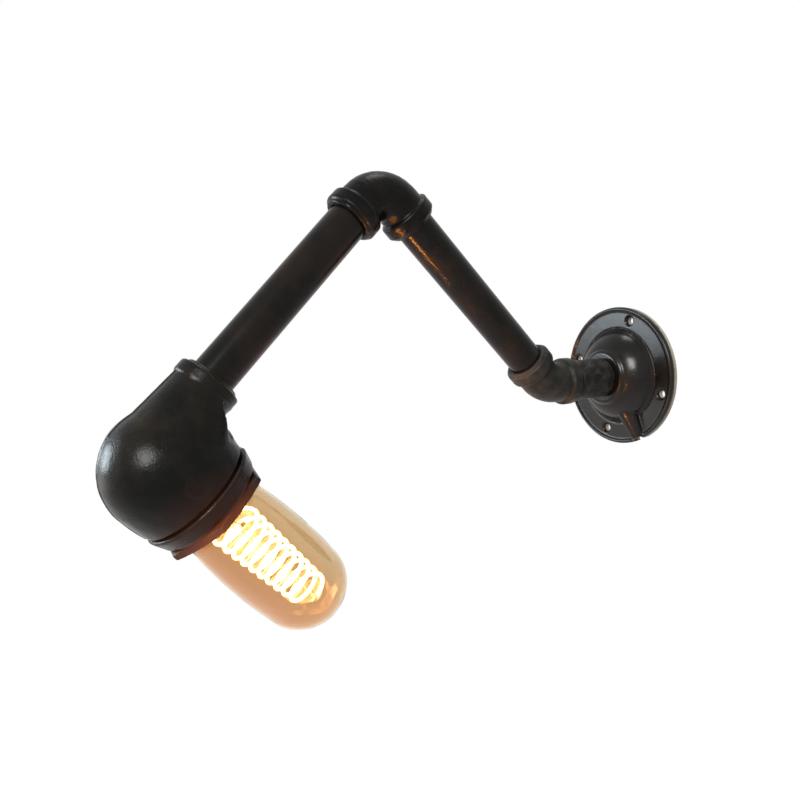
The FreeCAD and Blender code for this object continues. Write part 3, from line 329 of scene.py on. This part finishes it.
plate = cast("wall_foot", "wall_plate", "wall", cell_mm=0.5, rounds=3)
wear(black_lacquer(
    "gloss_plate_lacquer", (0.003, 0.003, 0.0025), (0.009, 0.007, 0.006),
    shine=0.19, dull=0.28, grain_mm=1.6, depth_mm=0.03, gloss=0.2,
), plate)

# Neck: a rough cast iron socket, threaded inside, and the black running nipple that carries it
# through the plate's hole. The socket keeps the skin of its casting under the lacquer.
neck = cast("neck_socket", "plate_socket", "wall", cell_mm=0.4, rounds=2,
            ripple_mm=0.22, ripple_size_mm=1.2)
wear(black_lacquer(
    "rough_neck_lacquer", (0.008, 0.008, 0.007), (0.038, 0.034, 0.029),
    shine=0.35, dull=0.55, grain_mm=0.9, depth_mm=0.35, patch_mm=5, gloss=0.14,
), neck)


def black_pipe(name, turn_x):
    """Drawn tube under thin black lacquer, with the fine lines of the drawing along it."""
    finish, tree, face = new_finish(name)
    lines = grain_of(tree, 0.7, roughness=0.6, stretch=(1, 1, 0.03), turn_x=turn_x)
    grain = grain_of(tree, 22, detail=4)
    patch = spread(tree, grain, 0, 1, from_low=0.42, from_high=0.75)
    coat = blended(tree, patch, (0.003, 0.003, 0.0025), (0.014, 0.008, 0.005))
    tree.links.new(coat, face.inputs["Base Color"])
    tree.links.new(spread(tree, lines, 0.21, 0.25), face.inputs["Roughness"])
    face.inputs["Specular IOR Level"].default_value = 0.12
    relief(tree, face, lines, depth_mm=0.004, strength=0.6)
    return finish


wear(black_pipe("running_nipple_black", radians(-90)), nodes["wall_nipple"])


# Lock washer and lock nut: stamped and zinc plated steel. They hold the neck's nipple against
# the inside of the plate.
def bright_metal(name, clean, dulled, shine, dull, line_mm=0.4):
    """Bare or plated metal with fine tool marks and duller patches."""
    finish, tree, face = new_finish(name)
    coloured(tree, face, 4, clean, dulled, detail=4)
    polished(tree, face, 1.5, shine, dull)
    face.inputs["Metallic"].default_value = 1.0
    relief(tree, face, grain_of(tree, line_mm), depth_mm=0.03, strength=0.5)
    return finish


zinc = bright_metal("zinc_plate", (0.56, 0.56, 0.53), (0.40, 0.40, 0.38),
                    shine=0.25, dull=0.45)
wear(zinc, nodes["lock_nut"], nodes["lock_washer"])

# Terminal block: a two-way block moulded in natural white nylon, with a brass screw at each end
# of each way, screwed to a boss inside the plate. The second boss takes the earth's brass screw
# and tinned tag.
nylon, tree, face = new_finish("natural_nylon")
coloured(tree, face, 6, (0.80, 0.79, 0.74), (0.72, 0.71, 0.65))
polished(tree, face, 2, shine=0.4, dull=0.55)
relief(tree, face, grain_of(tree, 0.3), depth_mm=0.02)
wear(nylon, nodes["terminal_block"])
brass = bright_metal("turned_brass", (0.72, 0.53, 0.24), (0.55, 0.38, 0.16),
                     shine=0.22, dull=0.4)
wear(brass, nodes["terminal_screws"], nodes["earth_screw"])
wear(zinc, nodes["block_screw"])
tinned = bright_metal("tinned_brass", (0.70, 0.68, 0.62), (0.60, 0.55, 0.42),
                      shine=0.3, dull=0.45)
wear(tinned, nodes["earth_tag"])

# Close nipple and lower elbow: the nipple is tight in the 45 degree elbow and turns in the neck's
# thread. The elbow is sand cast malleable iron with a rounded band round each port.
wear(black_pipe("close_nipple_black", radians(-90)), nodes["close_nipple"])
lower_elbow = cast("lower_elbow", "elbow_45", "lower_arm", cell_mm=0.5, rounds=3,
                   ripple_mm=0.1, ripple_size_mm=4)
wear(black_lacquer(
    "lower_elbow_lacquer", (0.010, 0.010, 0.009), (0.034, 0.029, 0.023),
    shine=0.36, dull=0.52, grain_mm=1.1, depth_mm=0.2, patch_mm=9, gloss=0.13,
), lower_elbow)

# Lower pipe: half-inch steel tube cut to length, threaded at both ends and lacquered black. It
# is screwed tight into the lower elbow's upper port.
wear(black_pipe("lower_pipe_black", radians(-45)), nodes["lower_pipe"])

# Upper elbow: the 90 degree casting at the top of the run, in the same malleable iron as the
# lower one and with the same bands. It turns on the lower pipe's thread.
upper_elbow = cast("upper_elbow", "elbow_90", "upper_arm", cell_mm=0.5, rounds=3,
                   ripple_mm=0.1, ripple_size_mm=4)
wear(black_lacquer(
    "upper_elbow_lacquer", (0.002, 0.002, 0.002), (0.009, 0.007, 0.005),
    shine=0.22, dull=0.36, grain_mm=1.3, depth_mm=0.1, gloss=0.09,
), upper_elbow)

# Upper pipe: the same tube again, from the upper elbow down to the lamp head. It is screwed
# tight into the elbow, and the head turns on its far end.
wear(black_pipe("upper_pipe_black", radians(45)), nodes["upper_pipe"])


# Lead: two-core cable inside the run, in stretches that meet at the swivels. It has a round
# black sheath over a brown and a blue core, which part at its ends for the block and the holder.
def drawn_wire(name, runs, width_mm, finishes, body, node, order=3, steps=6):
    """Round wires of one width, each on a smooth line led by its run of points in millimetres."""
    line = bpy.data.curves.new(name + "_line", "CURVE")
    line.dimensions = "3D"
    line.bevel_depth = width_mm / 2 * MM
    line.bevel_resolution = 3
    line.resolution_u = steps
    line.use_fill_caps = True
    for number, run in enumerate(runs):
        wire = line.splines.new("NURBS")
        wire.points.add(len(run) - 1)
        for point, place in zip(wire.points, run):
            point.co = (*(Vector(place) * MM), 1)
        wire.order_u = order
        wire.use_endpoint_u = True
        wire.material_index = number % len(finishes)
        wire.use_smooth = True
    for finish in finishes:
        line.materials.append(finish)
    guide = bpy.data.objects.new(name + "_line", line)
    bpy.context.collection.objects.link(guide)
    bpy.context.view_layer.update()
    seen = guide.evaluated_get(bpy.context.evaluated_depsgraph_get())
    mesh = bpy.data.meshes.new_from_object(seen)
    bpy.data.objects.remove(guide)
    piece = bpy.data.objects.new(name, mesh)
    bpy.context.collection.objects.link(piece)
    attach(piece, body)
    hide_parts(node)
    return piece


def soft_cover(name, colour, faded, shine, dull):
    """Extruded insulation: an even colour with a faint bloom and fine extrusion marks."""
    finish, tree, face = new_finish(name)
    coloured(tree, face, 5, colour, faded)
    polished(tree, face, 2, shine, dull)
    relief(tree, face, grain_of(tree, 0.4), depth_mm=0.03)
    return finish


sheath = soft_cover("black_cable_sheath", (0.02, 0.02, 0.02), (0.035, 0.034, 0.033),
                    shine=0.45, dull=0.6)
brown_core = soft_cover("brown_core", (0.16, 0.07, 0.035), (0.13, 0.055, 0.03),
                        shine=0.35, dull=0.5)
blue_core = soft_cover("blue_core", (0.05, 0.16, 0.42), (0.04, 0.13, 0.34),
                       shine=0.35, dull=0.5)
core_pair = [brown_core, blue_core]
LEAD_WIDTH = 5.6
CORE_WIDTH = 1.9
BEND_REACH = 9
ELBOW_REACH = 28
HEAD_REACH = 44.4
LEAD_END = 24
TURNING_GAP = 0.3
ALONG_LOWER = Vector((0, -0.7071, 0.7071))
ALONG_UPPER = Vector((0, -0.7071, -0.7071))
LOWER_CORNER = Vector((0, -70.8, 0))
UPPER_CORNER = Vector((0, -183.44, 112.64))
HEAD_CORNER = Vector((0, -308.81, -12.73))
LAMP_TILT = radians(221.5)
at_wall_swivel = Vector((0, -48.8, 0))
at_arm_swivel = UPPER_CORNER - ALONG_LOWER * ELBOW_REACH
drawn_wire("lead_by_the_plate", [[
    (0, -11.6, 0),
    (0, -30, 0),
    at_wall_swivel,
]], LEAD_WIDTH, [sheath], "wall", "lead_at_plate")
drawn_wire("lead_in_the_lower_arm", [[
    at_wall_swivel,
    LOWER_CORNER + Vector((0, BEND_REACH, 0)),
    LOWER_CORNER,
    LOWER_CORNER + ALONG_LOWER * BEND_REACH,
    at_arm_swivel,
]], LEAD_WIDTH, [sheath], "lower_arm", "lead_in_lower_arm")
drawn_wire("lead_in_the_upper_arm", [[
    at_arm_swivel,
    UPPER_CORNER,
    UPPER_CORNER + ALONG_UPPER * ELBOW_REACH,
    HEAD_CORNER - ALONG_UPPER * HEAD_REACH,
]], LEAD_WIDTH, [sheath], "upper_arm", "lead_in_upper_arm")
drawn_wire("lead_in_the_head", [[
    HEAD_CORNER - ALONG_UPPER * reach for reach in (HEAD_REACH - TURNING_GAP, 34, LEAD_END)
]], LEAD_WIDTH, [sheath], "head", "lead_in_head")

FACING_OUT = radians(90)
BLOCK_TURNED = radians(115)
block_turn = Matrix.Rotation(FACING_OUT, 3, "X") @ Matrix.Rotation(BLOCK_TURNED, 3, "Z")
plate_runs = [[block_turn @ Vector(point) for point in (
    (0, side * 1.2, 11.6),
    (0, side * 1.2, 6.5),
    (1.2, side * 1.5, 5.3),
    (8, side * 5.5, 5.3),
    (11, side * 5.5, 5.3),
    (15.83, side * 5.5, 5.3),
)] for side in (-1, 1)]
drawn_wire("cores_at_the_plate", plate_runs, CORE_WIDTH, core_pair, "wall", "plate_cores")
head_turn = Matrix.Rotation(LAMP_TILT, 3, "X")
head_runs = [[HEAD_CORNER + head_turn @ Vector(point) for point in (
    (side * 1.2, -23.96, -1.46),
    (side * 1.2, -19.8, -1.1),
    (side * 7, -15.3, -1.1),
    (side * 7, -10.8, -1.1),
)] for side in (-1, 1)]
drawn_wire("cores_in_the_head", head_runs, CORE_WIDTH, core_pair, "head", "head_cores")

# Lamp head: a large reducing elbow of sand cast malleable iron. A raised line shows where the
# halves of its mould met, ground smooth in the throat, and a plain round of casting stands on
# its cheek.
THROAT = (0, -0.2711, -0.0096)
THROAT_REACH = 0.0095
head = cast("lamp_head", "head_elbow", "head", cell_mm=0.55, rounds=4,
            ripple_mm=0.12, ripple_size_mm=6, ground=(THROAT, THROAT_REACH))
wear(black_lacquer(
    "lamp_head_lacquer", (0.0025, 0.0025, 0.002), (0.012, 0.009, 0.006),
    shine=0.20, dull=0.33, grain_mm=1.2, depth_mm=0.12, patch_mm=18, gloss=0.105,
), head)

# Lampholder: a glazed porcelain body with a plated screw shell, a brass centre contact and two
# brass terminal screws, dropped into the head's mouth.
glaze, tree, face = new_finish("glazed_porcelain")
coloured(tree, face, 8, (0.80, 0.78, 0.72), (0.74, 0.72, 0.66))
polished(tree, face, 3, shine=0.08, dull=0.16)
relief(tree, face, grain_of(tree, 1.2), depth_mm=0.02)
wear(glaze, nodes["lampholder_body"])
wear(brass, nodes["holder_centre_contact"], nodes["holder_terminals"])
nickel = bright_metal("nickel_plate", (0.66, 0.61, 0.52), (0.52, 0.46, 0.36),
                      shine=0.16, dull=0.3)
wear(nickel, nodes["holder_screw_shell"])

# Retaining ring: a hexagonal cast ring screwed into the head's mouth over the lampholder. The
# coil starts close behind it. Its lacquer is a warmer brown, and a dull red glow of the coil's
# light is painted into it.
LAMP = Matrix.Translation((0, -0.308812, -0.012728)) @ Matrix.Rotation(LAMP_TILT, 4, "X")
# The spot where the painted glow of the coil's light is strongest.
PAINTED_GLOW_SPOT = LAMP @ Vector((0.026, 0.010, 0.050))


def with_painted_coil_glow(finish, nearest, farthest, strength):
    """A painted red glow of the coil's light, full within nearest and none beyond farthest."""
    tree = finish.node_tree
    face = tree.nodes["Principled BSDF"]
    face.inputs["Emission Color"].default_value = (1.0, 0.20, 0.045, 1)
    lit = tree.nodes.new("ShaderNodeMath")
    lit.operation = "MULTIPLY"
    lit.inputs[1].default_value = strength
    place = tree.nodes.new("ShaderNodeTexCoord")
    away = tree.nodes.new("ShaderNodeVectorMath")
    away.operation = "DISTANCE"
    away.inputs[1].default_value = PAINTED_GLOW_SPOT
    tree.links.new(place.outputs["Object"], away.inputs[0])
    near = spread(tree, away.outputs["Value"], 1, 0, nearest, farthest)
    tree.links.new(near, lit.inputs[0])
    tree.links.new(lit.outputs[0], face.inputs["Emission Strength"])
    return finish


ring = cast("hexagon_ring", "retaining_ring", "head", cell_mm=0.45, rounds=2,
            ripple_mm=0.08, ripple_size_mm=3)
ring_lacquer = black_lacquer(
    "ring_lacquer", (0.010, 0.008, 0.007), (0.040, 0.024, 0.017),
    shine=0.3, dull=0.5, grain_mm=1.0, depth_mm=0.12, patch_mm=8, edge_wear_and_highlight=(0.11, 0.08, 0.06),
)
wear(with_painted_coil_glow(ring_lacquer, nearest=0.004, farthest=0.034, strength=0.19), ring)
# The head's lacquer gets a fainter painted glow of the coil's light near its mouth.
wear(with_painted_coil_glow(head.data.materials[0], nearest=0.006, farthest=0.040, strength=0.035), head)

# Bulb: a tubular bulb of amber glass on a brass screw cap. Its cap has a solder tip in a black
# glass button, and a clear stem inside carries the spiral filament on fine hooks.
solder = bright_metal("solder_tip", (0.72, 0.72, 0.70), (0.55, 0.55, 0.53),
                      shine=0.3, dull=0.5)
wear(solder, nodes["bulb_contact"])
button, tree, face = new_finish("black_glass_button")
coloured(tree, face, 3, (0.012, 0.012, 0.016), (0.03, 0.03, 0.035))
polished(tree, face, 1, shine=0.1, dull=0.2)
relief(tree, face, grain_of(tree, 0.8), depth_mm=0.02)
wear(button, nodes["cap_insulator"])
wear(brass, nodes["bulb_cap"])
fine_wire = bright_metal("nickel_wire", (0.60, 0.58, 0.54), (0.48, 0.46, 0.42),
                         shine=0.25, dull=0.4, line_mm=0.2)
wear(fine_wire, nodes["lead_in_wires"], nodes["filament_supports"])


def lets_lamps_through(tree, face, tint):
    """Lamps reach what lies behind the glass, tinted."""
    path = tree.nodes.new("ShaderNodeLightPath")
    clear = tree.nodes.new("ShaderNodeBsdfTransparent")
    clear.inputs["Color"].default_value = (*tint, 1)
    pair = tree.nodes.new("ShaderNodeMixShader")
    tree.links.new(path.outputs["Is Shadow Ray"], pair.inputs[0])
    tree.links.new(face.outputs[0], pair.inputs[1])
    tree.links.new(clear.outputs[0], pair.inputs[2])
    tree.links.new(pair.outputs[0], tree.nodes["Material Output"].inputs["Surface"])


# Painted light: the amber tint is paler and greener on the bulb's upper side and deeper orange on
# its lower side, as the coil's glow shows in the glass.
GLASS_REACH = 0.022
towards_top = LAMP.to_3x3() @ Vector((0, -1, 0))
amber, tree, face = new_finish("amber_glass")
place = tree.nodes.new("ShaderNodeTexCoord")
upper_side = tree.nodes.new("ShaderNodeVectorMath")
upper_side.operation = "DOT_PRODUCT"
upper_side.inputs[1].default_value = towards_top
tree.links.new(place.outputs["Object"], upper_side.inputs[0])
middle = LAMP.translation.dot(towards_top)
painted_light_share = spread(tree, upper_side.outputs["Value"], 0, 1, middle - GLASS_REACH, middle + GLASS_REACH)
tint = blended(tree, painted_light_share, (0.72, 0.45, 0.24), (0.75, 0.62, 0.43))
tree.links.new(tint, face.inputs["Base Color"])
face.inputs["Transmission Weight"].default_value = 1.0
face.inputs["IOR"].default_value = 1.45
polished(tree, face, 6, shine=0.0, dull=0.02)
relief(tree, face, grain_of(tree, 14, detail=1), depth_mm=0.12)
lets_lamps_through(tree, face, (0.95, 0.66, 0.36))
wear(amber, nodes["bulb_glass"])

clear_glass, tree, face = new_finish("clear_stem_glass")
coloured(tree, face, 8, (0.96, 0.95, 0.92), (0.90, 0.90, 0.88))
face.inputs["Transmission Weight"].default_value = 1.0
face.inputs["IOR"].default_value = 1.48
polished(tree, face, 4, shine=0.0, dull=0.03)
lets_lamps_through(tree, face, (0.95, 0.95, 0.93))
wear(clear_glass, nodes["stem"])

# Filament: a fine carbon wire wound in ten loose turns round the stem, narrower towards the
# bulb's tip. It glows yellow-white while the lamp is lit, and is drawn as wide as its glare.
glow, tree, face = new_finish("glowing_carbon")
face.inputs["Base Color"].default_value = (0.03, 0.028, 0.026, 1)
heat = blended(tree, spread(tree, grain_of(tree, 3), 0, 1), (1.0, 0.44, 0.14), (1.0, 0.60, 0.24))
tree.links.new(heat, face.inputs["Emission Color"])
tree.links.new(spread(tree, grain_of(tree, 6), low=140, high=210), face.inputs["Emission Strength"])
polished(tree, face, 2, shine=0.5, dull=0.7)
TURNS = 10
POINTS_PER_TURN = 16
COIL_START = 53
COIL_LENGTH = 57
FIRST_RADIUS = 12
TAPER = 2.8
POINTS_OUTSIDE = 1.02
GLARE_WIDTH = 1.8
COIL_MIDDLE = 0.08
spiral = []
for step in range(TURNS * POINTS_PER_TURN + 1):
    share = step / (TURNS * POINTS_PER_TURN)
    radius = (FIRST_RADIUS - share * TAPER) * POINTS_OUTSIDE
    angle = 2 * pi * TURNS * share
    point = Vector((radius * cos(angle), radius * sin(angle), COIL_START + share * COIL_LENGTH))
    spiral.append(LAMP @ (point * MM) / MM)
coil = drawn_wire("spiral_filament", [spiral], GLARE_WIDTH, [glow], "bulb", "filament",
                  order=4, steps=4)

# The light that the coil throws on the iron near it comes from a small lamp in its middle.
coil_light = bpy.data.lights.new("coil_light", "POINT")
coil_light.energy = 2.4
coil_light.color = (1.0, 0.56, 0.30)
coil_light.shadow_soft_size = 0.014
glow_of_coil = bpy.data.objects.new("coil_light", coil_light)
glow_of_coil.location = LAMP @ Vector((0, 0, COIL_MIDDLE))
bpy.context.collection.objects.link(glow_of_coil)
glow_of_coil.parent = coil
glow_of_coil.visible_camera = False
glow_of_coil.visible_transmission = False
